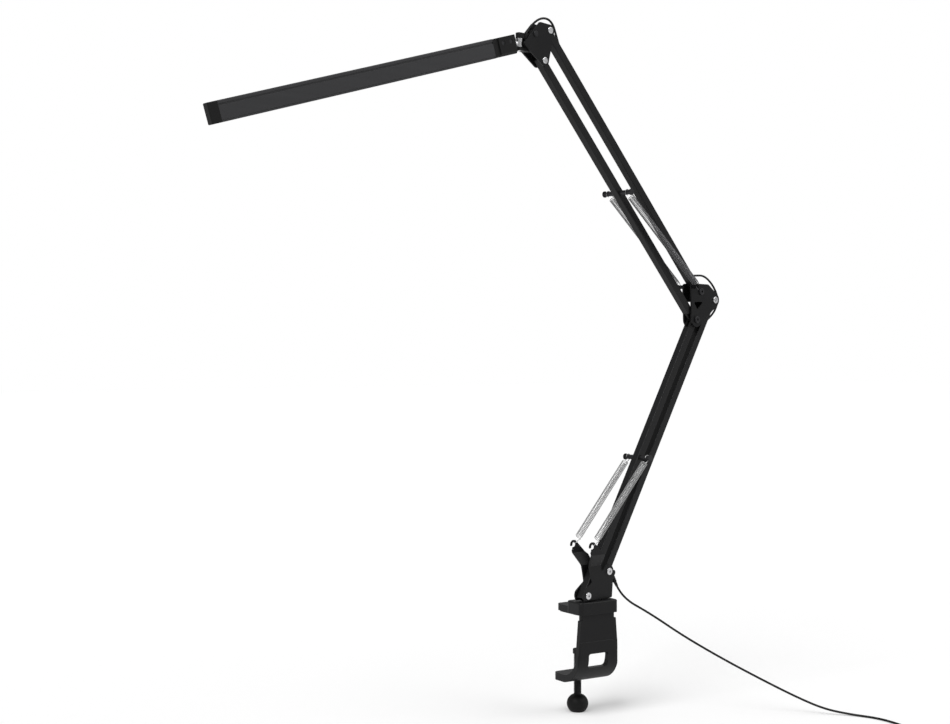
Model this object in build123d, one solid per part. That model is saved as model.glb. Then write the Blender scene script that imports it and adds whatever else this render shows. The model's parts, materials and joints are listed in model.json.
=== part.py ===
from build123d import *
import math
import os

os.makedirs("parts", exist_ok=True)

# Clamp-on swing-arm lamp with an LED bar. Sizes in mm, +Z up, +Y the way the jaws point.
# The origin is on the swivel axis, at the face that rests on the worktop.
# Everything above the clamp is drawn in the arm's own frame, X along the arm's reach and
# Y across it, and is turned about Z by the swivel's angle when it is written.
SWIVEL_REST = 10.0

# fits, each a radial or face-to-face clearance
RUNNING = 0.05
FREE = 0.3

# clamp
MOUTH = 75.5  # between the jaws, which is the travel of the foot plus its own height
WEB_BACK = -12.4
WEB_THICK = 7.0
WEB_TOP_WIDTH = 53.0
WEB_LOW_WIDTH = 61.0
WEB_WIDEST_Z = -51.0
STEP_Z = -31.6
STEP_DEPTH = 0.6
BEND_R = 34.0
LOW_JAW_THICK = 9.0
LOW_JAW_TIP = 42.4
TOP_JAW_TIP = 43.8
TOP_JAW_WIDTH = 50.0
TOP_JAW_TOP = 9.5
JAW_CORNER = 8.0
PAD_THICK = 1.5
RIM_WIDTH = 58.0
RIM_BACK = -14.5
RIM_FRONT = 16.0
RIM_BOTTOM = 2.0
RIM_TOP = 17.5
WINDOW_WIDTH = 30.0
WINDOW_LOW = -64.0
WINDOW_HIGH = -46.5
SCREW_Y = 31.5
SCREW_R = 4.9
SCREW_TIP_R = 3.0
FOOT_R = 6.0
FOOT_TOP = -48.0
FOOT_HIGH = 6.0
KNOB_TOP = -105.5
KNOB_BOTTOM = -126.7
KNOB_R = 13.4
INSERT_R = 8.0
SWIVEL_PIN_R = 5.0
BUSH_R = 7.0
BUSH_LOW = 4.0
FLANGE_R = 9.0
FLANGE_THICK = 0.7

# arms
TUBE = 10.0
TUBE_WALL = 1.0
TUBE_PAST = 6.0
LOWER_LEAN = 31.43
LOWER_LENGTH = 400.0
UPPER_LEAN = -43.03
UPPER_LENGTH = 415.5
PIVOT_A = (21.0, 51.4)
LOW_LINK = (-38.0, -26.5)
HIGH_LINK = (-9.1, -36.9)
PLATE_GAP = 0.5  # between a plate and a tube beside it
PLATE_IN = TUBE / 2 + PLATE_GAP
PLATE_THICK = 2.0
BOLT_R = 2.5
BOLT_HEAD_R = 4.5
BOLT_HEAD_HIGH = 2.2
NUT_FLATS = 8.0
NUT_HIGH = 3.6
FORK_REACH = 14.0
TONGUE = 3.4
FORK_SLOT = 4.0

# springs and what they hang on
SPRING_Y = 15.8
SPRING_WIRE_R = 0.45
SPRING_R = 3.9
SPRING_CURLS = 25
HOOK_NOTCH_R = 3.3
HOOK_BAND = 2.2
LINK_R = 2.5  # of the spring's end link, which goes through the notch
TILT_PIN_R = 2.0
ELBOW_STUD_R = 2.5
ROD_R = 3.0
LOWER_ROD_AT = 192.8
LOWER_ROD_LONG = 43.0
UPPER_ROD_AT = 214.0
UPPER_ROD_LONG = 46.0
LOWER_HOOK = (-17.6, 86.0)
UPPER_HOOK = (184.5, 409.0)

# head
TILT_PIVOT = (-107.5, 699.5)
NECK_PIN = (-127.5, 686.8)
NECK_PIN_R = 2.5
NECK_CABLE_END = (-117.5, 695.5)
BAR_DROP = 16.7
BAR_TURN = -4.56
BAR_LONG = 426.0
BAR_HIGH = 22.5
BAR_DEEP = 9.5
CAP_LONG = 12.0
HOLDER_START = 8.7
HOLDER_END = 43.0
STUD_R = 2.6

# cable and cord
CORD_R = 1.35
BOOT_LONG = 22.0
BOOT_SEAT = 2.0
BOOT_ROOT = (32.0, 48.5)
BOOT_DIP = 56.8
FLOOR = KNOB_BOTTOM
CORD_STEP = 3.3
COIL_CENTRE = (254.0, -306.0)
COIL_R = 16.2
COIL_LAYERS = 4
COIL_TURNS = 3.25


# ---------------------------------------------------------------- small helpers
def lean(angle):
    return math.sin(math.radians(angle)), math.cos(math.radians(angle))


def along(point, direction, distance):
    return point[0] + direction[0] * distance, point[1] + direction[1] * distance


def block(x0, x1, y0, y1, z0, z1):
    centre = Pos((x0 + x1) / 2, (y0 + y1) / 2, (z0 + z1) / 2)
    return centre * Box(x1 - x0, y1 - y0, z1 - z0)


def slab(outline, y0, y1):
    return Pos(0, y1, 0) * extrude(Plane.XZ * outline, y1 - y0)


def hull(*discs):
    edges = [(Pos(x, z) * Circle(r)).edge() for x, z, r in discs]
    return make_hull(edges)


def rod(point, radius, y0, y1):
    return Pos(point[0], (y0 + y1) / 2, point[1]) * Rot(90, 0, 0) * Cylinder(radius, y1 - y0)


def upright(x, y, radius, z0, z1):
    return Pos(x, y, (z0 + z1) / 2) * Cylinder(radius, z1 - z0)


def save(part, name, turned=True):
    placed = Rot(0, 0, SWIVEL_REST) * part if turned else part
    export_step(placed, f"parts/{name}.step")


# ---------------------------------------------------------------- wire and cord paths
def arc_middle(start, tangent, end):
    chord = end - start
    unit = chord.normalized()
    side = tangent - unit * tangent.dot(unit)
    if side.length < 1e-9:
        return None
    angle = math.acos(max(-1.0, min(1.0, tangent.normalized().dot(unit))))
    return (start + end) * 0.5 + side.normalized() * (chord.length / 2 * math.tan(angle / 2))


def biarc(p0, t0, p1, t1):
    span = p1 - p0
    both = t0 + t1
    k = 2 * (1 - t0.dot(t1))
    if k < 1e-9:
        return [Line(p0, p1)]
    d = (-span.dot(both) + math.sqrt(span.dot(both) ** 2 + k * span.dot(span))) / k
    join = (p0 + p1 + (t0 - t1) * d) * 0.5
    first = arc_middle(p0, t0, join)
    last = arc_middle(p1, t1 * -1, join)
    a = ThreePointArc(p0, first, join) if first else Line(p0, join)
    b = ThreePointArc(join, last, p1) if last else Line(join, p1)
    return [a, b]


def wound(stations):
    edges = []
    for (p0, t0), (p1, t1) in zip(stations, stations[1:]):
        for piece in biarc(p0, t0, p1, t1):
            edges.extend(piece.edges())
    return Wire(edges)


def least_gap(wire, radius, name):
    count = int(wire.length / (radius * 0.8))
    points = [wire.position_at(i / count) for i in range(count + 1)]
    step = wire.length / count
    apart = int(6 * radius / step) + 1
    least = 1e9
    for i in range(0, len(points), 2):
        near = [(points[i] - q).length for q in points[i + apart:]]
        least = min([least] + near)
    print(f"{name}: length {wire.length:.1f} mm, least gap to itself {least - 2 * radius:.2f} mm")


def tube_on(wire, radius):
    start = Plane(origin=wire.position_at(0), z_dir=wire.tangent_at(0))
    return sweep(start * Circle(radius), path=wire)


def route_wire(points, name):
    corners = [Vector(*p) for p in points]
    radii = []
    for a, b, c in zip(corners, corners[1:], corners[2:]):
        turn = math.radians((b - a).get_angle(c - b))
        radii.append(0.45 * min((b - a).length, (c - b).length) / math.tan(turn / 2))
    wire = FilletPolyline(*corners, radius=radii).wire()
    print(f"{name}: length {wire.length:.1f} mm, radii {[round(r, 1) for r in radii]}")
    return wire


def cord_on(points, name):
    wire = route_wire(points, name)
    tube = tube_on(wire, CORD_R)
    share = tube.volume / (wire.length * math.pi * CORD_R**2)
    print(f"{name}: volume is {share:.4f} of section times length")
    return tube


# ---------------------------------------------------------------- clamp
def clamp_frame():
    low = -MOUTH
    bottom = low - LOW_JAW_THICK
    inner = WEB_BACK + WEB_THICK
    bend = BEND_R - WEB_THICK - 1.0
    outline = Polyline(
        (WEB_BACK + BEND_R, bottom), (LOW_JAW_TIP, bottom), (LOW_JAW_TIP, low), (inner + bend, low)
    )
    outline += RadiusArc((inner + bend, low), (inner, low + bend), bend)
    outline += Polyline(
        (inner, low + bend), (inner, PAD_THICK), (TOP_JAW_TIP, PAD_THICK),
        (TOP_JAW_TIP, TOP_JAW_TOP), (WEB_BACK, TOP_JAW_TOP), (WEB_BACK, bottom + BEND_R)
    )
    outline += RadiusArc((WEB_BACK, bottom + BEND_R), (WEB_BACK + BEND_R, bottom), -BEND_R)
    side = extrude(Plane.YZ * make_face(outline), WEB_LOW_WIDTH / 2, both=True)
    top = TOP_JAW_WIDTH / 2
    front = Polygon(
        (-top, TOP_JAW_TOP + 1), (-WEB_TOP_WIDTH / 2, -2), (-WEB_LOW_WIDTH / 2, WEB_WIDEST_Z),
        (-WEB_LOW_WIDTH / 2, bottom - 1), (WEB_LOW_WIDTH / 2, bottom - 1),
        (WEB_LOW_WIDTH / 2, WEB_WIDEST_Z), (WEB_TOP_WIDTH / 2, -2), (top, TOP_JAW_TOP + 1),
        align=None,
    )
    body = side & slab(front, RIM_BACK - 1, TOP_JAW_TIP + 1)
    body &= jaw_plan(WEB_LOW_WIDTH, LOW_JAW_TIP, bottom - 1, -5) + jaw_plan(
        TOP_JAW_WIDTH, TOP_JAW_TIP, -5, TOP_JAW_TOP + 1
    )
    body -= block(-40, 40, WEB_BACK - 1, WEB_BACK + STEP_DEPTH, STEP_Z, RIM_TOP)
    rim_plan = Pos(0, (RIM_BACK + RIM_FRONT) / 2) * RectangleRounded(
        RIM_WIDTH, RIM_FRONT - RIM_BACK, 5
    )
    rim = Pos(0, 0, RIM_BOTTOM) * extrude(rim_plan, RIM_TOP - RIM_BOTTOM)
    rim = fillet(rim.faces().sort_by(Axis.Z)[-1].edges(), 2)
    body += rim
    window = Pos(0, (WINDOW_LOW + WINDOW_HIGH) / 2) * RectangleRounded(
        WINDOW_WIDTH, WINDOW_HIGH - WINDOW_LOW, 3
    )
    body -= slab(window, WEB_BACK - 5, inner + 8)
    body -= upright(0, 0, BUSH_R, BUSH_LOW, RIM_TOP + 1)
    body -= upright(0, SCREW_Y, INSERT_R, bottom - 1, low + 1)
    return body


def jaw_plan(width, tip, z0, z1):
    back = 3.0
    side = width / 2
    outline = hull(
        (side - JAW_CORNER, tip - JAW_CORNER, JAW_CORNER),
        (JAW_CORNER - side, tip - JAW_CORNER, JAW_CORNER),
        (back - side, WEB_BACK + back, back), (side - back, WEB_BACK + back, back),
    )
    return Pos(0, 0, z0) * extrude(outline, z1 - z0)


def jaw_pad():
    plan = Pos(0, 19.0) * RectangleRounded(TOP_JAW_WIDTH - 4, 44.0, JAW_CORNER - 2)
    return extrude(plan, PAD_THICK)


def swivel_bush():
    bush = upright(0, 0, BUSH_R, BUSH_LOW, RIM_TOP)
    bush += upright(0, 0, FLANGE_R, RIM_TOP, RIM_TOP + FLANGE_THICK)
    return bush - upright(0, 0, SWIVEL_PIN_R + RUNNING, BUSH_LOW + 1, RIM_TOP + 2)


def screw_insert():
    low = -MOUTH
    insert = upright(0, SCREW_Y, INSERT_R, low - LOW_JAW_THICK, low)
    return insert - upright(0, SCREW_Y, SCREW_R + RUNNING, low - LOW_JAW_THICK - 1, low + 1)


def clamp_screw():
    shoulder = FOOT_TOP - FOOT_HIGH - FREE
    shaft = upright(0, SCREW_Y, SCREW_R, KNOB_TOP - 12, shoulder)
    return shaft + upright(0, SCREW_Y, SCREW_TIP_R, shoulder, FOOT_TOP - 2.4)


def pressure_foot():
    foot = upright(0, SCREW_Y, FOOT_R, FOOT_TOP - FOOT_HIGH, FOOT_TOP)
    foot = fillet(foot.edges().sort_by(Axis.Z)[-1], 0.8)
    socket = upright(0, SCREW_Y, SCREW_TIP_R + RUNNING, FOOT_TOP - FOOT_HIGH - 1, FOOT_TOP - 2.3)
    return foot - socket


def clamp_knob():
    flat = KNOB_R * 0.62
    outline = Polyline((0, KNOB_TOP), (6.0, KNOB_TOP))
    outline += ThreePointArc(
        (6.0, KNOB_TOP), (KNOB_R, KNOB_BOTTOM + KNOB_R * 0.86), (flat, KNOB_BOTTOM)
    )
    outline += Polyline((flat, KNOB_BOTTOM), (0, KNOB_BOTTOM), (0, KNOB_TOP))
    knob = revolve(Plane.XZ * make_face(outline), Axis.Z)
    knob = Pos(0, SCREW_Y, 0) * knob
    return knob - upright(0, SCREW_Y, SCREW_R, KNOB_TOP - 12, KNOB_TOP + 1)


# ---------------------------------------------------------------- pivots and tubes
LOWER = lean(LOWER_LEAN)
UPPER = lean(UPPER_LEAN)
PIVOT_B = along(PIVOT_A, LOW_LINK, 1)
ELBOW_A = along(PIVOT_A, LOWER, LOWER_LENGTH)
ELBOW_SHARED = along(PIVOT_B, LOWER, LOWER_LENGTH)
ELBOW_C = along(ELBOW_SHARED, HIGH_LINK, -1)
HEAD_C = along(ELBOW_C, UPPER, UPPER_LENGTH)
HEAD_D = along(ELBOW_SHARED, UPPER, UPPER_LENGTH)
LOWER_ROD = along(PIVOT_B, LOWER, LOWER_ROD_AT)
UPPER_ROD = along(ELBOW_SHARED, UPPER, UPPER_ROD_AT)
PLATE_OUT = PLATE_IN + PLATE_THICK


def bolt(point):
    shaft = rod(point, BOLT_R, -PLATE_OUT, PLATE_OUT + NUT_HIGH + 0.8)
    head = rod(point, BOLT_HEAD_R, -PLATE_OUT - BOLT_HEAD_HIGH, -PLATE_OUT)
    head = fillet(head.edges().sort_by(Axis.Y)[0], 0.8)
    drive = Pos(point[0], -PLATE_OUT - 0.8, point[1]) * Rot(90, 0, 0)
    drive *= extrude(RegularPolygon(1.8, 6), 2)
    return shaft + head - drive


def rivet(point, radius, head_r):
    shaft = rod(point, radius, -PLATE_OUT, PLATE_OUT)
    heads = []
    for y0, y1 in ((-PLATE_OUT - 1.6, -PLATE_OUT), (PLATE_OUT, PLATE_OUT + 1.6)):
        head = rod(point, head_r, y0, y1)
        ends = head.edges().filter_by(GeomType.CIRCLE).sort_by(Axis.Y)
        heads.append(fillet(ends[0] if y0 < 0 else ends[-1], 1.0))
    return shaft + heads[0] + heads[1]


def nut(point):
    base = Pos(point[0], PLATE_OUT + NUT_HIGH, point[1]) * Rot(90, 0, 0)
    body = base * extrude(RegularPolygon(NUT_FLATS / 2, 6, major_radius=False), NUT_HIGH)
    return body - rod(point, BOLT_R, PLATE_OUT - 1, PLATE_OUT + NUT_HIGH + 1)


def on_tube(start, angle):
    # local X runs along the tube, local Z is its upper side
    return Pos(start[0], 0, start[1]) * Rot(0, angle - 90, 0)


def tube(start, angle, length, first_end, last_end):
    x0 = -TUBE_PAST if first_end else FORK_REACH + 1
    x1 = length + TUBE_PAST if last_end else length - FORK_REACH - 1
    half = TUBE / 2
    body = block(x0, x1, -half, half, -half, half)
    body = fillet(body.edges().filter_by(Axis.X), 0.8)
    bore = half - TUBE_WALL
    body -= block(x0 - 1, x1 + 1, -bore, bore, -bore, bore)
    if first_end:
        body = rounded_end(body, x0, 1)
        body -= rod((0, 0), BOLT_R + RUNNING, -half - 1, half + 1)
    if last_end:
        body = rounded_end(body, x1, -1)
        body -= rod((length, 0), BOLT_R + RUNNING, -half - 1, half + 1)
    return body


def rounded_end(body, x, way):
    half = TUBE / 2
    corner = 2.4
    for side in (-1, 1):
        z = side * (half - corner)
        cut = block(x - 1, x + corner, -half - 1, half + 1, -half - 1, half + 1)
        if way < 0:
            cut = block(x - corner, x + 1, -half - 1, half + 1, -half - 1, half + 1)
        cut &= block(x - 9, x + 9, -half - 1, half + 1, min(z, z + side * 9), max(z, z + side * 9))
        cut -= rod((x + way * corner, z), corner, -half - 1, half + 1)
        body -= cut
    return body


def slot(x, length):
    # an opening for the cable through the wall on the tube's local -Z side
    plan = Pos(x, 0) * SlotOverall(length, 2 * CORD_R + 0.9)
    return Pos(0, 0, -TUBE / 2) * extrude(plan, 2 * TUBE_WALL, both=True)


def tube_fitting(split):
    # local X points from the pivot into the tube; split makes a fork, otherwise a tongue
    half = TUBE / 2
    stem = half - TUBE_WALL
    body = block(-half, FORK_REACH + 1, -half, half, -half, half)
    body = fillet(body.edges().filter_by(Axis.X), 0.8)
    body -= block(-half - 1, 0, -half - 1, half + 1, -half - 1, half + 1)
    body += rod((0, 0), half, -half, half)
    if split:
        gap = FORK_SLOT / 2
        body -= block(-half - 1, FORK_REACH, -gap, gap, -half - 1, half + 1)
    else:
        edge = TONGUE / 2
        for side in (-1, 1):
            y0, y1 = sorted((side * edge, side * (half + 1)))
            body -= block(-half - 1, FORK_REACH, y0, y1, -half - 1, half + 1)
    body += block(FORK_REACH + 1, FORK_REACH + 16, -stem, stem, -stem, stem)
    return body - rod((0, 0), BOLT_R + RUNNING, -half - 1, half + 1)


def cross_rod(point, length):
    body = rod(point, ROD_R, -length / 2, length / 2)
    for side in (-1, 1):
        y0, y1 = sorted((side * (length / 2 - 1.6), side * length / 2))
        body += rod(point, ROD_R + 1.0, y0, y1)
    return body


# ---------------------------------------------------------------- springs
def spring(hook, far, linked, side, name):
    # linked is a link through a hook's notch at the first end, otherwise a loop round a stud
    start = Vector(hook[0], side * SPRING_Y, hook[1])
    end = Vector(far[0], side * SPRING_Y, far[1])
    w = (end - start).normalized()
    v = Vector(0, 1, 0)
    u = w.cross(v)
    if linked:
        start += w * link_reach()
        first = [((pw, 0, pu), (tw, 0, tu)) for (pw, pu, _), (tw, tu, _) in end_loop(LINK_R)]
    else:
        first = end_loop(ELBOW_STUD_R + SPRING_WIRE_R + 0.15)
    length = (end - start).length
    last = end_loop(ROD_R + SPRING_WIRE_R + 0.15)
    w0 = first[-1][0][0] + 9.0
    w1 = length - 10.0
    pitch = (w1 - w0) / SPRING_CURLS
    rise = pitch / (2 * math.pi * SPRING_R)
    stations = list(first)
    for i in range(2 * SPRING_CURLS + 1):
        angle = math.pi * i
        c, s = math.cos(angle), math.sin(angle)
        stations.append(((w0 + pitch * i / 2, -SPRING_R * c, 0), (rise, 0, c)))
    for (pw, pu, pv), (tw, tu, tv) in reversed(last):
        stations.append(((length - pw, pu, -pv), (tw, -tu, tv)))
    placed = []
    for p, t in stations:
        point = start + w * p[0] + u * p[1] + v * p[2]
        placed.append((point, (w * t[0] + u * t[1] + v * t[2]).normalized()))
    wire = wound(placed)
    least_gap(wire, SPRING_WIRE_R, name)
    return tube_on(wire, SPRING_WIRE_R)


def link_reach():
    # from the notch's centre to the link's, so that the link clears the band it goes round
    half = PLATE_THICK / 2
    return HOOK_NOTCH_R - SPRING_WIRE_R - 0.12 + math.sqrt(LINK_R**2 - half**2)


def end_loop(radius):
    stations = []
    for degrees in (40, 90, 180, 270):
        a = math.radians(degrees)
        stations.append(
            ((radius * math.cos(a), radius * math.sin(a), 0), (-math.sin(a), math.cos(a), 0))
        )
    lead = 2 * SPRING_WIRE_R
    x, y, _ = stations[0][0]
    tx, ty, _ = stations[0][1]
    stations.insert(0, ((x - tx * lead, y - ty * lead, 0), stations[0][1]))
    return stations


# ---------------------------------------------------------------- base bracket
def bent_sheet(side, x0, x1, low, bend_low, bend_high, top):
    inside, outside = PLATE_IN, SPRING_Y - PLATE_THICK / 2
    t = PLATE_THICK
    outline = Polygon(
        (inside, low), (inside + t, low), (inside + t, bend_low - 0.7), (outside + t, bend_high - 0.7),
        (outside + t, top), (outside, top), (outside, bend_high), (inside, bend_low),
        align=None,
    )
    sheet = Pos(x0, 0, 0) * extrude(Plane.YZ * outline, x1 - x0)
    return sheet if side > 0 else mirror(sheet, Plane.XZ)


def base_plate(side):
    bottom = RIM_TOP + FLANGE_THICK + FREE
    foot = hull((*PIVOT_A, 8.5), (25.0, bottom + 2, 2), (-8.0, bottom + 2, 2), (*PIVOT_B, 8.5))
    outline = foot + ear()
    outline -= Pos(0, bottom - 20) * Rectangle(200, 40)
    plate = slab(outline, -30, 30) & bent_sheet(side, -40, 40, bottom - 1, 61, 76, 96)
    for point in (PIVOT_A, PIVOT_B):
        plate -= rod(point, BOLT_R, -40, 40)
    return plate


def ear():
    # a broad strip whose tip is a hook, open towards the lower left
    x, z = LOWER_HOOK
    outline = Polygon(
        (9.0, 44), (x + 23.1, z - 13.5), (x + 4.2, z + 3.5), (x - 3.0, z - 7.5), (-14.2, 62.8),
        (-11.5, 51.4), (-9.3, 40), align=None,
    )
    outline += Pos(x, z) * Circle(HOOK_NOTCH_R + HOOK_BAND)
    outline -= Pos(x, z) * Circle(HOOK_NOTCH_R)
    return outline - Polygon((x, z), (x - 13.4, z - 4.1), (x - 4.8, z - 13.2), align=None)


def base_block():
    bottom = RIM_TOP + FLANGE_THICK + 0.1
    outline = Polygon(
        (-7.5, bottom), (26.5, bottom), (26.5, 40), (9, 40.5), (-7.5, 24), align=None
    )
    outline += hull((24.0, 36.0, 2.5), (*BOOT_ROOT, 3.4))
    body = slab(outline, -PLATE_IN, PLATE_IN)
    body -= boot_root() * Pos(0, 0, BOOT_SEAT + 5) * Cylinder(5, 10)
    return body + upright(0, 0, SWIVEL_PIN_R, BUSH_LOW + 1.2, bottom)


# ---------------------------------------------------------------- elbow and head brackets
def elbow_plate(side):
    x, z = UPPER_HOOK
    outline = hull(
        (*ELBOW_A, 9), (*ELBOW_SHARED, 10), (*ELBOW_C, 10), (x, z, 4.5), (214.5, 408.0, 5)
    )
    outline -= hull((188.0, 388.0, 1.2), (202.0, 388.6, 1.2), (193.5, 381.0, 1.2))
    plate = slab(outline, *sorted((side * PLATE_IN, side * PLATE_OUT)))
    for point in (ELBOW_A, ELBOW_SHARED, ELBOW_C):
        plate -= rod(point, BOLT_R, -40, 40)
    plate += rod(UPPER_HOOK, ELBOW_STUD_R, *sorted((side * PLATE_OUT, side * 18.5)))
    return plate + rod(UPPER_HOOK, ELBOW_STUD_R + 1.0, *sorted((side * 18.0, side * 19.5)))


def head_plate(side):
    outline = hull((*HEAD_C, 6.8), (*HEAD_D, 6.8), (-99.0, 712.0, 2.5), (-123.2, 686.0, 2.5))
    plate = slab(outline, *sorted((side * PLATE_IN, side * PLATE_OUT)))
    for point in (HEAD_C, HEAD_D):
        plate -= rod(point, BOLT_R, -40, 40)
    return plate - rod(TILT_PIVOT, TILT_PIN_R, -40, 40)


# ---------------------------------------------------------------- neck and head
def neck_block():
    px, pz = NECK_PIN
    top = pz + 11.8
    outline = make_face(Polyline(
        (px + 5.6, pz - 9), (px + 20, pz - 9), (px + 25, pz + 3), (px + 25, top + 4),
        (px + 12, top), (px + 5.6, top), (px + 5.6, pz - 9)
    ))
    outline += Pos(*TILT_PIVOT) * Circle(5.2)
    body = slab(outline, -PLATE_IN + PLATE_GAP, PLATE_IN - PLATE_GAP)
    for z0, z1 in ((pz - 9, pz - 5.3), (pz + 5.3, top)):
        body += block(px, px + 6, -4, 4, z0, z1) + upright(px, 0, 4, z0, z1)
    body -= upright(px, 0, NECK_PIN_R, pz - 20, pz + 20)
    x, z = NECK_CABLE_END
    body -= Plane(origin=(x, 0, z), z_dir=(0.43, 0, 0.903)) * Pos(0, 0, 10) * Cylinder(CORD_R + 0.15, 20)
    return body - rod(TILT_PIVOT, TILT_PIN_R + RUNNING, -9, 9)


def neck_pin():
    px, pz = NECK_PIN
    pin = upright(px, 0, NECK_PIN_R, pz - 9.6, pz + 12.4)
    return chamfer(pin.edges().filter_by(GeomType.CIRCLE), 0.5)


def bar_place():
    px, pz = NECK_PIN
    return Pos(px, 0, pz) * Rot(0, 0, BAR_TURN) * Rot(0, -BAR_DROP, 0)


def lying(radius, x0, x1):
    return Pos((x0 + x1) / 2, 0, 0) * Rot(0, 90, 0) * Cylinder(radius, x1 - x0)


def knuckle():
    px, pz = NECK_PIN
    stud = lying(STUD_R, -HOLDER_START - 14, -2.6) + lying(3.3, -HOLDER_START + 0.3, -6.6)
    body = bar_place() * stud + upright(px, 0, 4.3, pz - 5, pz + 5)
    return body - upright(px, 0, NECK_PIN_R + RUNNING, pz - 9, pz + 9)


def bar_section(deep, high, corner):
    return Plane.YZ * RectangleRounded(deep, high, corner)


CAVITY_HIGH = BAR_HIGH - 4.5
CAVITY_FLOOR = -0.5
DIFFUSER_THICK = 1.8


def holder():
    half = BAR_HIGH / 2 - 0.25
    near = -BAR_DEEP / 2 - 1.5
    section = Polygon(
        (BAR_DEEP / 2, half), (near, half), (near, -half + 3), (near + 3, -half),
        (BAR_DEEP / 2, -half), align=None,
    )
    body = Pos(-HOLDER_END, 0, 0) * extrude(Plane.YZ * section, HOLDER_END - HOLDER_START)
    body = chamfer(body.faces().sort_by(Axis.X)[-1].edges(), 0.8)
    body -= block(-HOLDER_END - 1, -HOLDER_END + 8, near - 1, -BAR_DEEP / 2, -20, 20)
    depth = BAR_DEEP / 2 - DIFFUSER_THICK
    body += block(-HOLDER_END - 16, -HOLDER_END, CAVITY_FLOOR, depth, -8, 8)
    body -= lying(STUD_R + RUNNING, -HOLDER_START - 14.3, 0)
    for x in (-HOLDER_START - 8, -HOLDER_START - 20):
        body -= rod((x, 4.0), 2.6, near - 1, near + 1.6)
        body -= rod((x, 4.0), 1.2, near, near + 5)
    return body


def clip_screws():
    near = -BAR_DEEP / 2 - 1.5
    pair = []
    for x in (-HOLDER_START - 8, -HOLDER_START - 20):
        head = rod((x, 4.0), 2.6, near + 0.5, near + 1.6)
        pair.append(head + rod((x, 4.0), 1.2, near + 1.6, near + 5))
    return Compound(children=[p for p in pair])


def head_housing():
    long = BAR_LONG - CAP_LONG - HOLDER_END
    body = Pos(-BAR_LONG + CAP_LONG, 0, 0) * extrude(bar_section(BAR_DEEP, BAR_HIGH, 1.2), long)
    half = CAVITY_HIGH / 2
    cavity = block(-BAR_LONG, 0, CAVITY_FLOOR, BAR_DEEP, -half, half)
    groove = block(-BAR_LONG, 0, -BAR_DEEP, -BAR_DEEP / 2 + 0.9, BAR_HIGH / 2 - 5.4, BAR_HIGH / 2 - 3.4)
    line = block(-BAR_LONG, 0, -BAR_DEEP, -BAR_DEEP / 2 + 0.4, -BAR_HIGH / 2 + 1.8, -BAR_HIGH / 2 + 2.4)
    return body - cavity - groove - line


def end_cap():
    cap = Pos(-BAR_LONG, 0, 0) * extrude(bar_section(BAR_DEEP, BAR_HIGH, 1.2), CAP_LONG)
    cap = fillet(cap.faces().sort_by(Axis.X)[0].edges(), 1.0)
    inner = -BAR_LONG + CAP_LONG
    stem = block(inner, inner + 6, CAVITY_FLOOR, BAR_DEEP / 2 - DIFFUSER_THICK, -8, 8)
    return cap + stem


def diffuser():
    half = CAVITY_HIGH / 2
    back = BAR_DEEP / 2 - DIFFUSER_THICK
    return block(-BAR_LONG + CAP_LONG, -HOLDER_END, back, BAR_DEEP / 2, -half, half)


def led_board():
    return block(-BAR_LONG + CAP_LONG + 7, -HOLDER_END - 17, CAVITY_FLOOR, CAVITY_FLOOR + 1.2, -7, 7)


# ---------------------------------------------------------------- cables
def local_points(pairs):
    return [(x, 0, z) for x, z in pairs]


def middle(a, b):
    return (a[0] + b[0]) / 2, (a[1] + b[1]) / 2


ELBOW_IN_A = along(ELBOW_A, LOWER, -60)
ELBOW_IN_C = along(ELBOW_C, UPPER, 40)
HEAD_IN_C = along(HEAD_C, UPPER, -60)
ELBOW_JOIN = middle((236.0, 412.0), (247.0, 394.0))
HEAD_JOIN = middle((-72.5, 721.5), (-92.0, 722.5))


def cable_pieces():
    elbow_a = [ELBOW_IN_A, along(ELBOW_A, LOWER, -40), (237.0, 374.5), (247.0, 394.0), ELBOW_JOIN]
    elbow_c = [
        ELBOW_JOIN, (236.0, 412.0), (217.0, 425.0), (197.5, 424.5), along(ELBOW_C, UPPER, 27),
        ELBOW_IN_C,
    ]
    head_c = [HEAD_IN_C, along(HEAD_C, UPPER, -44), (-63.0, 699.0), (-72.5, 721.5), HEAD_JOIN]
    head_b = [HEAD_JOIN, (-92.0, 722.5), (-112.5, 706.0), NECK_CABLE_END]
    return {
        "cable_elbow_lower": elbow_a,
        "cable_elbow_upper": elbow_c,
        "cable_head_upper": head_c,
        "cable_head_neck": head_b,
    }


def straight_cable(start, end):
    line = Line((start[0], 0, start[1]), (end[0], 0, end[1]))
    return tube_on(Wire(line.edges()), CORD_R)


def boot_root():
    dx, dz = lean(90 + BOOT_DIP)
    return Plane(origin=(BOOT_ROOT[0], 0, BOOT_ROOT[1]), z_dir=(dx, 0, dz))


def boot():
    root = boot_root()
    cone = root * Pos(0, 0, (BOOT_LONG + BOOT_SEAT) / 2) * Cone(2.9, 1.75, BOOT_LONG - BOOT_SEAT)
    rings = [root * Pos(0, 0, z) * Cylinder(3.3 - 0.05 * z, 1.4) for z in (5.5, 8.5, 11.5, 14.5)]
    return cone + rings


def boot_tip():
    dx, dz = lean(90 + BOOT_DIP)
    x, z = BOOT_ROOT[0] + dx * BOOT_LONG, BOOT_ROOT[1] + dz * BOOT_LONG
    turn = math.radians(SWIVEL_REST)
    tip = (x * math.cos(turn), x * math.sin(turn), z)
    way = (dx * math.cos(turn), dx * math.sin(turn), dz)
    return tip, way


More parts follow.
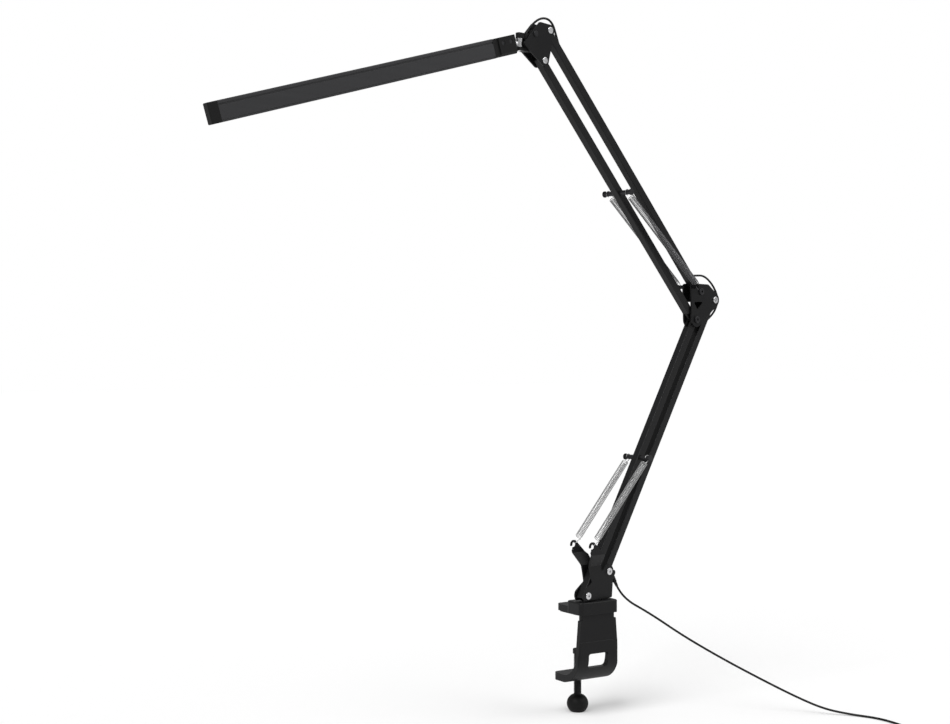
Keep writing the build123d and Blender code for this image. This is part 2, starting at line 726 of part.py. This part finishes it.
def free_cord():
    tip, way = boot_tip()
    z = FLOOR + CORD_R
    second = tuple(p + 20 * w for p, w in zip(tip, way))
    start, _ = coil_station(0)
    return [
        tip, second, (80.0, -13.0, -5.0), (113.0, -39.0, -33.0), (152.0, -69.0, -61.0),
        (190.0, -99.0, -86.0), (222.0, -125.0, -106.0), (248.0, -147.0, -120.0),
        (271.0, -169.0, z), (286.0, -202.0, z), (284.0, -238.0, z), (start.X, -270.0, z),
        (start.X, start.Y, start.Z),
    ]


def coil_station(turns):
    # turns counted from the cord's end of the coil; the coil winds clockwise seen from above
    layer = min(int(turns / COIL_TURNS), COIL_LAYERS - 1)
    within = turns - layer * COIL_TURNS
    spiral = COIL_TURNS - 0.5
    outward = 1 if layer % 2 else -1
    spread = CORD_STEP * spiral / 2
    climb = 0.0 if layer == COIL_LAYERS - 1 else max(0.0, within - spiral) / 0.5
    turned = within if layer == COIL_LAYERS - 1 else min(within, spiral)
    radius = COIL_R + outward * (CORD_STEP * turned - spread)
    radius += outward * 0.4 * CORD_STEP * math.sin(math.pi * climb)
    angle = -2 * math.pi * turns
    height = FLOOR + CORD_R + CORD_STEP * (layer + climb)
    point = Vector(
        COIL_CENTRE[0] + radius * math.cos(angle), COIL_CENTRE[1] + radius * math.sin(angle), height
    )
    return point, radius


def coil_wire():
    total = COIL_LAYERS * COIL_TURNS
    quarters = int(round(total * 4))
    stations = []
    for i in range(quarters + 1):
        turns = i / 4
        point, _ = coil_station(turns)
        before, _ = coil_station(max(0.0, turns - 0.02))
        after, _ = coil_station(min(total, turns + 0.02))
        stations.append((point, (after - before).normalized()))
    stations[0] = (stations[0][0], Vector(0, -1, 0))
    stations[-1] = (stations[-1][0], Vector(0, -1, 0))
    return wound(stations)


def coil():
    wire = coil_wire()
    least_gap(wire, CORD_R, "cord_coil")
    return tube_on(wire, CORD_R)


PLUG_HIGH = 8.0
PLUG_WIDE = 15.0
TAIL_LONG = 58.0


def tail_points():
    end, _ = coil_station(COIL_LAYERS * COIL_TURNS)
    low = FLOOR + PLUG_HIGH / 2
    return [
        (end.X, end.Y, end.Z), (end.X, end.Y - 18, end.Z), (end.X, end.Y - 40, low),
        (end.X, end.Y - TAIL_LONG, low),
    ]


def plug():
    x, y, z = tail_points()[-1]
    shell = block(x - PLUG_WIDE / 2, x + PLUG_WIDE / 2, y - 34, y - 10, z - 4, z + 4)
    shell = fillet(shell.edges().filter_by(Axis.Y), 2.0)
    neck = Pos(x, y - 5, z) * Rot(90, 0, 0) * Cone(3.4, 2.2, 10)
    return shell + neck


def plug_tongue():
    x, y, z = tail_points()[-1]
    return block(x - 6, x + 6, y - 46, y - 34, z - 2.25, z + 2.25)


# ---------------------------------------------------------------- writing the pieces
def write_clamp():
    save(clamp_frame(), "clamp_frame", False)
    save(jaw_pad(), "jaw_pad", False)
    save(swivel_bush(), "swivel_bush", False)
    save(screw_insert(), "screw_insert", False)
    save(clamp_screw(), "clamp_screw", False)
    save(pressure_foot(), "pressure_foot", False)
    save(clamp_knob(), "clamp_knob", False)


def write_base():
    save(base_block(), "base_block")
    for name, side in (("near", -1), ("far", 1)):
        save(base_plate(side), f"base_plate_{name}")


def write_bolts():
    bolted = {
        "base_lower_front": PIVOT_A, "base_lower_rear": PIVOT_B, "elbow_lower": ELBOW_A,
        "elbow_shared": ELBOW_SHARED, "elbow_upper": ELBOW_C,
    }
    for name, point in bolted.items():
        save(bolt(point), f"bolt_{name}")
        save(nut(point), f"nut_{name}")
    save(rivet(HEAD_C, BOLT_R, BOLT_HEAD_R - 0.5), "rivet_head_upper")
    save(rivet(HEAD_D, BOLT_R, BOLT_HEAD_R - 0.5), "rivet_head_lower")
    save(rivet(TILT_PIVOT, TILT_PIN_R, 3.4), "rivet_tilt")


def write_arms():
    tube_a = tube(PIVOT_A, LOWER_LEAN, LOWER_LENGTH, True, True)
    tube_a -= slot(LOWER_LENGTH - 30, 14)
    save(on_tube(PIVOT_A, LOWER_LEAN) * tube_a, "tube_lower_front")
    tube_b = tube(PIVOT_B, LOWER_LEAN, LOWER_LENGTH, True, False)
    tube_b -= rod((LOWER_ROD_AT, 0), ROD_R, -9, 9)
    save(on_tube(PIVOT_B, LOWER_LEAN) * tube_b, "tube_lower_rear")
    tube_c = tube(ELBOW_C, UPPER_LEAN, UPPER_LENGTH, True, True)
    tube_c -= slot(23.7, 8) + slot(UPPER_LENGTH - 34.0, 15)
    save(on_tube(ELBOW_C, UPPER_LEAN) * tube_c, "tube_upper_front")
    tube_d = tube(ELBOW_SHARED, UPPER_LEAN, UPPER_LENGTH, False, True)
    tube_d -= rod((UPPER_ROD_AT, 0), ROD_R, -9, 9)
    save(on_tube(ELBOW_SHARED, UPPER_LEAN) * tube_d, "tube_upper_rear")
    save(on_tube(ELBOW_SHARED, LOWER_LEAN + 180) * tube_fitting(True), "fork_lower_rear")
    save(on_tube(ELBOW_SHARED, UPPER_LEAN) * tube_fitting(False), "tongue_upper_rear")
    save(cross_rod(LOWER_ROD, LOWER_ROD_LONG), "cross_rod_lower")
    save(cross_rod(UPPER_ROD, UPPER_ROD_LONG), "cross_rod_upper")


def write_springs():
    for name, side in (("near", -1), ("far", 1)):
        low = spring(LOWER_HOOK, LOWER_ROD, True, side, f"spring_lower_{name}")
        save(low, f"spring_lower_{name}")
        high = spring(UPPER_HOOK, UPPER_ROD, False, side, f"spring_upper_{name}")
        save(high, f"spring_upper_{name}")


def write_elbow_and_head():
    for name, side in (("near", -1), ("far", 1)):
        save(elbow_plate(side), f"elbow_plate_{name}")
        save(head_plate(side), f"head_plate_{name}")
    save(neck_block(), "neck_block")
    save(neck_pin(), "neck_pin")
    save(knuckle(), "knuckle")
    for name, piece in (
        ("holder", holder()), ("clip_screws", clip_screws()), ("head_housing", head_housing()),
        ("end_cap", end_cap()), ("diffuser", diffuser()), ("led_board", led_board()),
    ):
        save(bar_place() * piece, name)


def write_cables():
    save(straight_cable(along(PIVOT_A, LOWER, 9), ELBOW_IN_A), "cable_in_lower_tube")
    save(straight_cable(ELBOW_IN_C, HEAD_IN_C), "cable_in_upper_tube")
    for name, points in cable_pieces().items():
        save(cord_on(local_points(points), name), name)
    save(boot(), "strain_relief")
    save(cord_on(free_cord(), "cord_free"), "cord_free", False)
    save(coil(), "cord_coil", False)
    save(cord_on(tail_points(), "cord_tail"), "cord_tail", False)
    save(plug(), "plug_body", False)
    save(plug_tongue(), "plug_tongue", False)


write_clamp()
write_base()
write_bolts()
write_arms()
write_springs()
write_elbow_and_head()
write_cables()
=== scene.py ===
import json
import math

import bpy
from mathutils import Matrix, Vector

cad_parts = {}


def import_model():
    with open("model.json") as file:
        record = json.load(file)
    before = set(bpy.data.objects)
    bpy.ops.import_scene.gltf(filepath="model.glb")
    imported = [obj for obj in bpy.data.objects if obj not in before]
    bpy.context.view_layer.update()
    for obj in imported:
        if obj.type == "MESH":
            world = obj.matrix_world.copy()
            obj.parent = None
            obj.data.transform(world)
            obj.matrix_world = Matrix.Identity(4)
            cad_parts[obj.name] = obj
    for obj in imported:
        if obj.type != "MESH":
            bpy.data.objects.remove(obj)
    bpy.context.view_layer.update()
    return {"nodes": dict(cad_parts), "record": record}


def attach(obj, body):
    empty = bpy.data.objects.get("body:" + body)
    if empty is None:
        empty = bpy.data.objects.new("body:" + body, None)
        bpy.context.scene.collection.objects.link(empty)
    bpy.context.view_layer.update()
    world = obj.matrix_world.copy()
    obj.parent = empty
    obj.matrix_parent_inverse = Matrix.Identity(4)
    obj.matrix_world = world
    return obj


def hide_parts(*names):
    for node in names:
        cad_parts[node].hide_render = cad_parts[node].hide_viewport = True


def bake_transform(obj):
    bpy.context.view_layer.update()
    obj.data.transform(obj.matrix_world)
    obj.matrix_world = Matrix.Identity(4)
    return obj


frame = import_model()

NODES = frame["nodes"]
MM = 0.001
SWIVEL = math.radians(10.0)


# ------------------------------------------------------------------ places
def arm(x, z, y=0.0):
    # a point of the arm's own frame, in mm, as a point of the row frame in metres
    return Vector((
        (x * math.cos(SWIVEL) - y * math.sin(SWIVEL)) * MM,
        (x * math.sin(SWIVEL) + y * math.cos(SWIVEL)) * MM,
        z * MM,
    ))


def lean(angle):
    return math.sin(math.radians(angle)), math.cos(math.radians(angle))


def along(point, direction, distance):
    return point[0] + direction[0] * distance, point[1] + direction[1] * distance


def shift(point, dx, dz):
    return point[0] + dx, point[1] + dz


LOWER_LENGTH, UPPER_LENGTH = 400.0, 415.5
HIGH_LINK = (9.1, 36.9)
LOWER, UPPER = lean(31.43), lean(-43.03)  # the way each arm section points
PIVOT_A = (21.0, 51.4)
PIVOT_B = (-17.0, 24.9)
ELBOW_A = along(PIVOT_A, LOWER, LOWER_LENGTH)
ELBOW_SHARED = along(PIVOT_B, LOWER, LOWER_LENGTH)
ELBOW_C = shift(ELBOW_SHARED, *HIGH_LINK)
HEAD_C = along(ELBOW_C, UPPER, UPPER_LENGTH)
LOWER_ROD = along(PIVOT_B, LOWER, 192.8)
UPPER_ROD = along(ELBOW_SHARED, UPPER, 214.0)
LOWER_HOOK = (-17.6, 86.0)
UPPER_HOOK = (184.5, 409.0)
NECK_CABLE_END = (-117.5, 695.5)
FLOOR = -126.7
CORD_R = 1.35

CAMERA_AT = (-1.1218, -1.4863, 0.3282)
CAMERA_DOWN, CAMERA_TURN = 0.521, -32.56
CAMERA_LENS, CAMERA_SENSOR = 57.0, 36.0


# ------------------------------------------------------------------ materials
BROAD_GRAIN = 38.0
ROUGH_VARY = 0.08


def node(tree, kind, **values):
    made = tree.nodes.new(kind)
    for name, value in values.items():
        if hasattr(made, name):
            setattr(made, name, value)
        else:
            made.inputs[name.replace("_", " ")].default_value = value
    return made


def finish_of(name, colour, rough, metal=0.0, specular=0.5, vary=0.25, grain=900.0, bump=0.15,
              depth=0.00005, stretch=(1, 1, 1), edge=0.0004, edge_highlight=0.0):
    """A surface with mottled colour and roughness, fine relief, softened edges and, when asked,
    a painted highlight: colour lightened along its edges.
    """
    mat = bpy.data.materials.new(name)
    mat.use_nodes = True
    tree = mat.node_tree
    link = tree.links.new
    bsdf = tree.nodes["Principled BSDF"]
    bsdf.inputs["Metallic"].default_value = metal
    bsdf.inputs["Specular IOR Level"].default_value = specular
    place = node(tree, "ShaderNodeTexCoord")
    scale = node(tree, "ShaderNodeMapping")
    scale.inputs["Scale"].default_value = stretch
    link(place.outputs["Object"], scale.inputs["Vector"])
    broad = node(tree, "ShaderNodeTexNoise", Scale=BROAD_GRAIN, Detail=5.0, Roughness=0.6)
    fine = node(tree, "ShaderNodeTexNoise", Scale=grain, Detail=3.0, Roughness=0.55)
    link(scale.outputs["Vector"], broad.inputs["Vector"])
    link(scale.outputs["Vector"], fine.inputs["Vector"])
    ramp = node(tree, "ShaderNodeMapRange")
    ramp.inputs["To Min"].default_value = 1.0 - vary
    ramp.inputs["To Max"].default_value = 1.0 + vary
    link(broad.outputs["Fac"], ramp.inputs["Value"])
    tint = node(tree, "ShaderNodeMix", data_type="RGBA", blend_type="MULTIPLY")
    tint.inputs["Factor"].default_value = 1.0
    tint.inputs["A"].default_value = (*colour, 1)
    link(ramp.outputs["Result"], tint.inputs["B"])
    bevel = node(tree, "ShaderNodeBevel", samples=4)
    bevel.inputs["Radius"].default_value = edge
    relief = node(tree, "ShaderNodeBump")
    relief.inputs["Strength"].default_value = bump
    relief.inputs["Distance"].default_value = depth
    link(fine.outputs["Fac"], relief.inputs["Height"])
    link(bevel.outputs["Normal"], relief.inputs["Normal"])
    link(relief.outputs["Normal"], bsdf.inputs["Normal"])
    gloss = node(tree, "ShaderNodeMapRange")
    gloss.inputs["To Min"].default_value = rough - ROUGH_VARY
    gloss.inputs["To Max"].default_value = rough + ROUGH_VARY
    link(broad.outputs["Fac"], gloss.inputs["Value"])
    link(gloss.outputs["Result"], bsdf.inputs["Roughness"])
    shade = tint.outputs["Result"]
    # painted highlight: the colour is lightened along every edge, where the bevelled normal
    # turns away from the flat one
    if edge_highlight:
        flat = node(tree, "ShaderNodeNewGeometry")
        facing = node(tree, "ShaderNodeVectorMath", operation="DOT_PRODUCT")
        link(flat.outputs["Normal"], facing.inputs[0])
        link(bevel.outputs["Normal"], facing.inputs[1])
        highlight_mask = node(tree, "ShaderNodeMapRange")
        highlight_mask.inputs["From Min"].default_value = 0.99
        highlight_mask.inputs["From Max"].default_value = 0.75
        highlight_mask.inputs["To Max"].default_value = edge_highlight
        link(facing.outputs["Value"], highlight_mask.inputs["Value"])
        painted_highlight = node(tree, "ShaderNodeMix", data_type="RGBA")
        link(highlight_mask.outputs["Result"], painted_highlight.inputs["Factor"])
        link(tint.outputs["Result"], painted_highlight.inputs["A"])
        painted_highlight.inputs["B"].default_value = tuple(min(1, c * 4 + 0.03) for c in colour) + (1,)
        shade = painted_highlight.outputs["Result"]
    link(shade, bsdf.inputs["Base Color"])
    return mat


MATS = {
    "clamp_paint": finish_of("clamp_paint", (0.0065, 0.0065, 0.007), 0.40, specular=0.2,
                             grain=700, bump=0.3, depth=0.0001, edge_highlight=0.35, edge=0.0007),
    "bracket_paint": finish_of("bracket_paint", (0.006, 0.006, 0.0065), 0.38, specular=0.17,
                               grain=1100, bump=0.22, edge_highlight=0.35, edge=0.0005),
    "tube_paint": finish_of("tube_paint", (0.007, 0.007, 0.0075), 0.34, specular=0.2,
                            grain=1300, bump=0.18, edge_highlight=0.25, edge=0.0008),
    "black_plastic": finish_of("black_plastic", (0.006, 0.006, 0.006), 0.5, specular=0.17,
                               grain=1800, bump=0.3, depth=0.00005, edge=0.0005),
    "bright_steel": finish_of("bright_steel", (0.66, 0.66, 0.67), 0.26, metal=1.0, vary=0.12,
                              grain=2600, bump=0.1, edge=0.0003),
    "screw_steel": finish_of("screw_steel", (0.03, 0.03, 0.032), 0.36, metal=0.6, specular=0.25,
                             vary=0.3, grain=1500, bump=0.18, edge=0.0003),
    "spring_steel": finish_of("spring_steel", (0.52, 0.52, 0.52), 0.3, metal=1.0, vary=0.2,
                              grain=3000, bump=0.1, edge=0.0001),
    "dark_spring_steel": finish_of("dark_spring_steel", (0.2, 0.2, 0.205), 0.34, metal=1.0,
                                   vary=0.25, grain=3000, bump=0.1, edge=0.0001),
    "rubber_pad": finish_of("rubber_pad", (0.016, 0.016, 0.016), 0.72, specular=0.25, grain=1600,
                            bump=0.5, depth=0.0001),
    "cord_jacket": finish_of("cord_jacket", (0.008, 0.008, 0.008), 0.42, specular=0.22,
                             grain=1400, bump=0.2, depth=0.00004, edge=0.0002),
    "housing_finish": finish_of("housing_finish", (0.026, 0.026, 0.028), 0.42, metal=0.0,
                                specular=0.3, grain=500, bump=0.14, stretch=(0.06, 0.06, 2.6),
                                edge=0.0005, edge_highlight=0.25),
    "diffuser_white": finish_of("diffuser_white", (0.84, 0.84, 0.82), 0.5, specular=0.4,
                                vary=0.02, grain=2200, bump=0.12, depth=0.00003),
    "board_white": finish_of("board_white", (0.78, 0.78, 0.75), 0.45, vary=0.04, grain=900),
}


def dress():
    for part in frame["record"]["subparts"]:
        shown = NODES[part["node"]]
        shown.data.materials.clear()
        shown.data.materials.append(MATS[part["material_slot"]])


# ------------------------------------------------------------------ building helpers
def smooth_mesh(name, verts, faces, mat):
    mesh = bpy.data.meshes.new(name)
    mesh.from_pydata([tuple(v) for v in verts], [], faces)
    mesh.update()
    for poly in mesh.polygons:
        poly.use_smooth = True
    made = bpy.data.objects.new(name, mesh)
    bpy.context.scene.collection.objects.link(made)
    mesh.materials.append(MATS[mat])
    return made


def tube_mesh(name, line, radius, mat, sides=12):
    """A round tube along a close polyline, its ring turned as little as possible."""
    line = [Vector(p) for p in line]
    verts, faces = [], []
    side = None
    for i, p in enumerate(line):
        ahead = line[min(i + 1, len(line) - 1)] - line[max(i - 1, 0)]
        t = ahead.normalized()
        if side is None:
            side = t.orthogonal().normalized()
        side = (side - t * side.dot(t)).normalized()
        other = t.cross(side)
        for k in range(sides):
            a = 2 * math.pi * k / sides
            verts.append(p + side * (radius * math.cos(a)) + other * (radius * math.sin(a)))
    for i in range(len(line) - 1):
        for k in range(sides):
            a, b = i * sides + k, i * sides + (k + 1) % sides
            faces.append((a, b, b + sides, a + sides))
    faces.append(tuple(range(sides - 1, -1, -1)))
    last = (len(line) - 1) * sides
    faces.append(tuple(range(last, last + sides)))
    return smooth_mesh(name, verts, faces, mat)


def curve_of(name, points):
    """An open NURBS line through its ends, with these control points."""
    data = bpy.data.curves.new(name, "CURVE")
    data.dimensions = "3D"
    data.resolution_u = 10
    spline = data.splines.new("NURBS")
    spline.points.add(len(points) - 1)
    for target, p in zip(spline.points, points):
        target.co = (*p, 1.0)
    spline.order_u = 3
    spline.use_endpoint_u = True
    made = bpy.data.objects.new(name, data)
    bpy.context.scene.collection.objects.link(made)
    return made


def line_of(points):
    guide = curve_of("guide", points)
    bpy.context.view_layer.update()
    mesh = bpy.data.meshes.new_from_object(guide)
    line = [v.co.copy() for v in mesh.vertices]
    bpy.data.objects.remove(guide)
    bpy.data.meshes.remove(mesh)
    return line


def length_of(line):
    return sum((b - a).length for a, b in zip(line, line[1:]))


# ------------------------------------------------------------------ camera
def camera():
    data = bpy.data.cameras.new("camera")
    data.sensor_width = CAMERA_SENSOR
    data.lens = CAMERA_LENS
    data.clip_start = 0.05
    made = bpy.data.objects.new("camera", data)
    made.location = CAMERA_AT
    made.rotation_euler = (math.radians(90 - CAMERA_DOWN), 0, math.radians(CAMERA_TURN))
    bpy.context.scene.collection.objects.link(made)
    bpy.context.scene.camera = made


# ------------------------------------------------------------------ cord and cables
BOOT_ROOT = (32.0, 48.5)
BOOT_WAY = lean(90 + 56.8)
COIL_CENTRE = (254.0, -306.0)
COIL_R = 16.2
COIL_LAYERS = 4
COIL_TURNS = 3.25
CORD_STEP = 3.3
COIL_STEPS = 16  # points in each turn
BOOT_LENGTH, BOOT_LEAD = 22.0, 42.0
PLUG_UP = 4.0


def coil_point(turns):
    layer = min(int(turns / COIL_TURNS + 1e-9), COIL_LAYERS - 1)
    within = turns - layer * COIL_TURNS
    spiral = COIL_TURNS - 0.5
    outward = 1 if layer % 2 else -1
    spread = CORD_STEP * spiral / 2
    top = layer == COIL_LAYERS - 1
    climb = 0.0 if top else max(0.0, within - spiral) / 0.5
    turned = within if top else min(within, spiral)
    radius = COIL_R + outward * (CORD_STEP * turned - spread)
    radius += outward * 0.4 * CORD_STEP * math.sin(math.pi * climb)
    angle = -2 * math.pi * turns
    height = FLOOR + CORD_R + CORD_STEP * (layer + climb)
    return (
        COIL_CENTRE[0] + radius * math.cos(angle),
        COIL_CENTRE[1] + radius * math.sin(angle),
        height,
    )


def free_cord():
    tip = arm(*along(BOOT_ROOT, BOOT_WAY, BOOT_LENGTH)) / MM
    second = arm(*along(BOOT_ROOT, BOOT_WAY, BOOT_LEAD)) / MM
    low = FLOOR + CORD_R
    start = coil_point(0)
    points = [
        tuple(tip), tuple(second), (80.0, -13.0, -5.0), (113.0, -39.0, -33.0),
        (152.0, -69.0, -61.0), (190.0, -99.0, -86.0), (222.0, -125.0, -106.0),
        (248.0, -147.0, -120.0), (271.0, -169.0, low), (286.0, -202.0, low),
        (284.0, -238.0, low), (start[0], -270.0, low), start,
    ]
    total = COIL_LAYERS * COIL_TURNS
    points += [coil_point(i / COIL_STEPS) for i in range(1, int(total * COIL_STEPS) + 1)]
    end = points[-1]
    plug_z = FLOOR + PLUG_UP
    points += [
        (end[0], end[1] - 18, end[2]), (end[0], end[1] - 40, plug_z),
        (end[0], end[1] - 58, plug_z),
    ]
    metres = [Vector(p) * MM for p in points]
    made = curve_of("cord", metres)
    length = length_of(line_of(metres))
    made.data.bevel_depth = CORD_R * MM
    made.data.bevel_resolution = 4
    made.data.use_fill_caps = True
    made.data.materials.append(MATS["cord_jacket"])
    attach(made, "base_bracket")
    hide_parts("cord_free", "cord_coil", "cord_tail")


def cable(name, points, bodies, node_name):
    line = line_of([arm(*p) for p in points])
    made = tube_mesh(name, line, CORD_R * MM, "cord_jacket", 14)
    if len(bodies) == 1:
        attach(made, bodies[0])
    else:
        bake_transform(made)
    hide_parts(node_name)


def cables():
    elbow_in_a = along(ELBOW_A, LOWER, -60)
    elbow_in_c = along(ELBOW_C, UPPER, 40)
    head_in_c = along(HEAD_C, UPPER, -60)
    elbow_join = (241.5, 403.0)
    head_join = (-82.25, 722.0)
    cable("cable_low", [along(PIVOT_A, LOWER, 9), along(PIVOT_A, LOWER, 150), elbow_in_a],
          ["lower_front_arm"], "cable_in_lower_tube")
    cable("cable_high", [elbow_in_c, along(ELBOW_C, UPPER, 200), head_in_c],
          ["upper_front_arm"], "cable_in_upper_tube")
    cable("loop_elbow_low",
          [elbow_in_a, along(ELBOW_A, LOWER, -40), (237.0, 374.5), (247.0, 394.0), elbow_join],
          ["lower_front_arm", "elbow_bracket"], "cable_elbow_lower")
    cable("loop_elbow_high",
          [elbow_join, (236.0, 412.0), (217.0, 425.0), (197.5, 424.5), along(ELBOW_C, UPPER, 27),
           elbow_in_c],
          ["elbow_bracket", "upper_front_arm"], "cable_elbow_upper")
    cable("loop_head_high",
          [head_in_c, along(HEAD_C, UPPER, -44), (-63.0, 699.0), (-72.5, 721.5), head_join],
          ["upper_front_arm", "head_bracket"], "cable_head_upper")
    cable("loop_head_neck",
          [head_join, (-92.0, 722.5), (-112.5, 706.0), NECK_CABLE_END],
          ["head_bracket", "neck"], "cable_head_neck")


# ------------------------------------------------------------------ springs
SPRING_Y = 15.8
SPRING_WIRE, SPRING_R, SPRING_PITCH = 0.45, 3.9, 1.95
SPRING_STEPS = 18  # points in each turn
STUD_R, ROD_R, RING_GAP = 2.5, 3.0, 0.15
NOTCH_R, LINK_R, LINK_GAP, HOOK_HALF = 3.3, 2.5, 0.12, 1.0
END_IN, END_OUT = 7.5, 8.5  # from a spring's ends to its first and last turn
END_REACH, END_STEPS = 9.0, 8


def spring(name, hook, far, side, linked, mat, node_name):
    # linked: the first end is a link through a hook's notch, otherwise a loop round a stud
    y = side * SPRING_Y
    start, end = arm(*hook, y), arm(*far, y)
    w = (end - start).normalized()
    v = (arm(0, 0, 1) - arm(0, 0, 0)).normalized()
    u = w.cross(v)
    wire, big = SPRING_WIRE, SPRING_R
    first = LINK_R if linked else STUD_R + wire + RING_GAP
    last = ROD_R + wire + RING_GAP
    if linked:
        start += w * (NOTCH_R - wire - LINK_GAP + math.sqrt(first**2 - HOOK_HALF**2)) * MM
    total = (end - start).length / MM
    line = []

    def put(a, b, c):
        line.append(start + (w * a + u * b + v * c) * MM)

    for degrees in range(40, 271, 10):
        a = math.radians(degrees)
        x, across = first * math.cos(a), first * math.sin(a)
        put(x, *((0, across) if linked else (across, 0)))
    w0, w1 = END_IN, total - END_OUT
    turns = round((w1 - w0) / SPRING_PITCH)
    pitch = (w1 - w0) / turns
    leave = (0, 0, -first) if linked else (0, -first, 0)
    blend_in(put, leave, (1, 0, 0), (w0, -big, 0), (0.08, 0, 1), END_REACH, END_STEPS)
    for i in range(1, turns * SPRING_STEPS):
        a = 2 * math.pi * i / SPRING_STEPS
        put(w0 + pitch * i / SPRING_STEPS, -big * math.cos(a), big * math.sin(a))
    blend_in(put, (w1, -big, 0), (0.08, 0, 1), (total, -last, 0), (1, 0, 0),
             END_REACH, END_STEPS, True)
    for degrees in range(270, 491, 10):
        a = math.radians(degrees)
        put(total + last * math.cos(a), last * math.sin(a), 0)
    made = tube_mesh(name, line, wire * MM, mat, 8)
    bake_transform(made)
    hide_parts(node_name)


def blend_in(put, p0, t0, p1, t1, reach, steps, first_too=False):
    # a smooth run from p0 to p1, leaving along t0 and arriving along t1
    for i in range(0 if first_too else 1, steps + 1):
        s = i / steps
        a, b = 2 * s**3 - 3 * s**2 + 1, s**3 - 2 * s**2 + s
        c, d = -2 * s**3 + 3 * s**2, s**3 - s**2
        put(*(a * p0[k] + b * reach * t0[k] + c * p1[k] + d * reach * t1[k] for k in range(3)))


def springs():
    for side, word in ((-1, "near"), (1, "far")):
        spring(f"coil_low_{word}", LOWER_HOOK, LOWER_ROD, side, True, "spring_steel",
               f"spring_lower_{word}")
        spring(f"coil_high_{word}", UPPER_HOOK, UPPER_ROD, side, False, "dark_spring_steel",
               f"spring_upper_{word}")


# ------------------------------------------------------------------ clamp screw
SCREW_Y, SCREW_R, TIP_R = 31.5, 4.9, 3.0
THREAD_DEEP, THREAD_PITCH = 0.75, 1.5
THREAD_LOW, THREAD_HIGH, THREAD_STEP = -117.5, -54.3, 0.25
THREAD_SIDES = 32
TIP_LOW, TIP_HIGH = -54.0, -50.4


def thread_radius(z, share):
    # share is how far round the screw the point lies, from 0 to 1
    phase = (z / THREAD_PITCH - share) % 1.0
    cut = THREAD_DEEP * max(0.0, min(1.0, 1.35 - abs(phase - 0.5) * 3.4))
    end = min(1.0, (THREAD_HIGH - z) / 1.0)
    return SCREW_R - cut - (1 - end) * 0.9


def clamp_screw():
    rows, sides = int((THREAD_HIGH - THREAD_LOW) / THREAD_STEP), THREAD_SIDES
    verts, faces = [], []

    def put(r, k, z):
        a = 2 * math.pi * k / sides
        verts.append(Vector((r * math.cos(a), SCREW_Y + r * math.sin(a), z)) * MM)

    for i in range(rows + 1):
        z = THREAD_LOW + (THREAD_HIGH - THREAD_LOW) * i / rows
        for k in range(sides):
            put(thread_radius(z, k / sides), k, z)
    for z in (TIP_LOW, TIP_HIGH):
        for k in range(sides):
            put(TIP_R, k, z)
    for i in range(rows + 2):
        for k in range(sides):
            a, b = i * sides + k, i * sides + (k + 1) % sides
            faces.append((a, b, b + sides, a + sides))
    faces.append(tuple(range(sides - 1, -1, -1)))
    last = (rows + 2) * sides
    faces.append(tuple(range(last, last + sides)))
    made = smooth_mesh("screw_thread", verts, faces, "screw_steel")
    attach(made, "clamp_screw")
    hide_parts("clamp_screw")


# ------------------------------------------------------------------ light and backdrop
ROOM = 0.4  # the even light of the room, as a share of white
KEY, FILL = 2.0, 0.9
FLOOR_HALF, FLOOR_GAP = 14.0, 0.1
FLOOR_GREY = 0.8
FLOOR_GLOW = 0.15  # for camera rays alone: it brings the unshaded floor up to white


def world():
    # camera rays see a white backdrop, and every other ray the room
    made = bpy.data.worlds.new("world")
    bpy.context.scene.world = made
    made.use_nodes = True
    tree = made.node_tree
    tree.nodes.clear()
    out = node(tree, "ShaderNodeOutputWorld")
    room = node(tree, "ShaderNodeBackground", Color=(1, 1, 1, 1), Strength=ROOM)
    white = node(tree, "ShaderNodeBackground", Color=(1, 1, 1, 1), Strength=1.0)
    path = node(tree, "ShaderNodeLightPath")
    mix = node(tree, "ShaderNodeMixShader")
    tree.links.new(path.outputs["Is Camera Ray"], mix.inputs[0])
    tree.links.new(room.outputs[0], mix.inputs[1])
    tree.links.new(white.outputs[0], mix.inputs[2])
    tree.links.new(mix.outputs[0], out.inputs[0])


def floor():
    mesh = bpy.data.meshes.new("floor")
    z = (FLOOR - FLOOR_GAP) * MM
    s = FLOOR_HALF
    mesh.from_pydata([(-s, -s, z), (s, -s, z), (s, s, z), (-s, s, z)], [], [(0, 1, 2, 3)])
    made = bpy.data.objects.new("floor", mesh)
    bpy.context.scene.collection.objects.link(made)
    mat = bpy.data.materials.new("floor")
    mat.use_nodes = True
    tree = mat.node_tree
    bsdf = tree.nodes["Principled BSDF"]
    bsdf.inputs["Base Color"].default_value = (FLOOR_GREY, FLOOR_GREY, FLOOR_GREY, 1)
    bsdf.inputs["Roughness"].default_value = 0.9
    bsdf.inputs["Specular IOR Level"].default_value = 0.0
    path = node(tree, "ShaderNodeLightPath")
    glow = node(tree, "ShaderNodeMath", operation="MULTIPLY")
    glow.inputs[1].default_value = FLOOR_GLOW
    tree.links.new(path.outputs["Is Camera Ray"], glow.inputs[0])
    bsdf.inputs["Emission Color"].default_value = (1, 1, 1, 1)
    tree.links.new(glow.outputs[0], bsdf.inputs["Emission Strength"])
    mesh.materials.append(mat)


def sun(name, toward, strength, softness):
    data = bpy.data.lights.new(name, "SUN")
    data.energy = strength
    data.angle = math.radians(softness)
    made = bpy.data.objects.new(name, data)
    made.rotation_euler = Vector(toward).to_track_quat("-Z", "Y").to_euler()
    bpy.context.scene.collection.objects.link(made)


def lights():
    # wide soft suns light the floor evenly, so that it stays white but for the lamp's shadow
    sun("key", (0.75, 0.35, -1.0), KEY, 35)
    sun("fill", (-0.75, 0.75, -0.9), FILL, 50)


bpy.context.scene.view_settings.view_transform = "Standard"
camera()
dress()
free_cord()
cables()
springs()
clamp_screw()
world()
floor()
lights()
